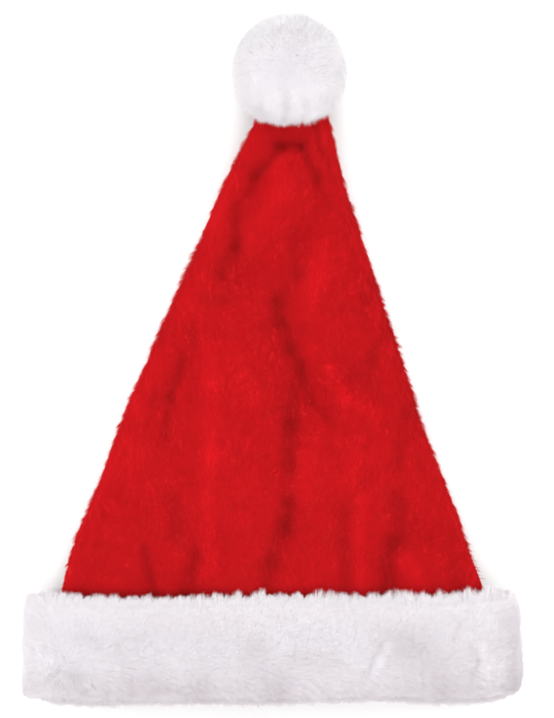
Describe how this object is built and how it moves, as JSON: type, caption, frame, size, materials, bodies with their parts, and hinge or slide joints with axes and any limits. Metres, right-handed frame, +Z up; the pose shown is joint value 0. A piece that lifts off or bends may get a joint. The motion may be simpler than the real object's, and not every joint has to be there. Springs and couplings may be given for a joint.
{
  "type": "santa hat",
  "caption": "Plush Santa hat lying flat: a hollow tapered crown of red cloth, open at a padded cuff of white fur, with a white fur pompom over its tip.",
  "frame": {"origin": "on the surface that the hat lies on, under the middle of its footprint", "axes": "+Y along the hat from the mouth to the pompom, +X to the right seen from above, +Z up off the surface"},
  "size_m": [0.2914, 0.3972, 0.0613],
  "materials": {
    "red_plush": "short-pile red polyester plush, matt with a soft sheen, darker where the pile is brushed or folded",
    "white_fur": "long-pile white faux fur, matt, with faint cool grey partings between its locks"
  },
  "bodies": {
    "root": {"crown": "red_plush", "cuff": "white_fur", "pompom": "white_fur"}
  },
  "joints": []
}
